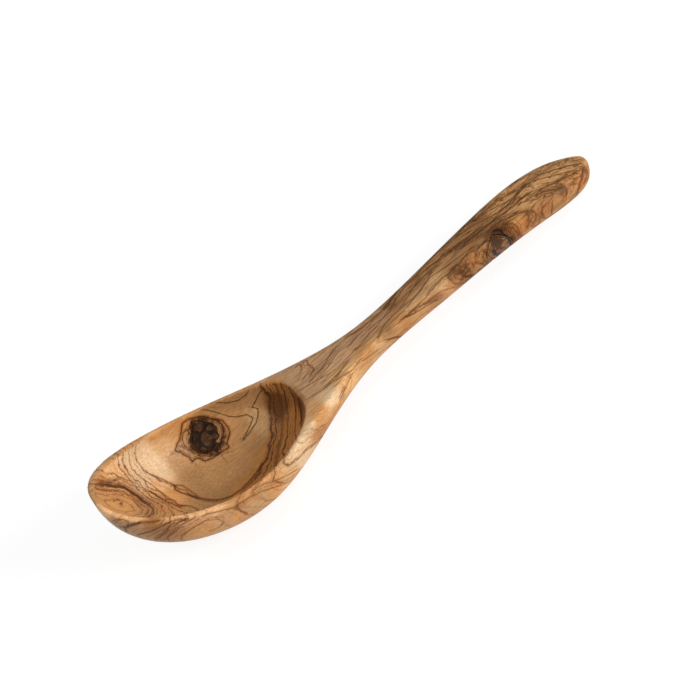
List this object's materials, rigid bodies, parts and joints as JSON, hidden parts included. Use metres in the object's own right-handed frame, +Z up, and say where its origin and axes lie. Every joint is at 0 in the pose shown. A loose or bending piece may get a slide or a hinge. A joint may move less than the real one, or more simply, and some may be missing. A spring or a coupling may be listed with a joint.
{
  "type": "wooden spoon",
  "caption": "Carved olive-wood serving spoon: deep oval bowl with a rising tip, narrow neck and flat-topped handle that widens to a drooping rounded end; dead knots in bowl wall and handle.",
  "frame": {"origin": "centre of the spoon's footprint on the table that it rests on", "axes": "+X from the tip of the bowl to the end of the handle, +Z up, +Y towards the side wall with the knot"},
  "size_m": [0.2972, 0.0742, 0.0635],
  "materials": {
    "olive_wood": "smooth sanded and oiled olive wood, cream to orange with dark brown grain lines",
    "knot_wood": "grey-brown dead branch wood, fissured",
    "handle_knot_wood": "golden brown branch wood with tight curved rings",
    "knot_bark": "almost black ingrown bark"
  },
  "bodies": {
    "root": {"spoon_body": "olive_wood", "bowl_knot": "knot_wood", "bowl_knot_bark": "knot_bark", "handle_knot": "handle_knot_wood", "handle_knot_bark": "knot_bark"}
  },
  "joints": []
}
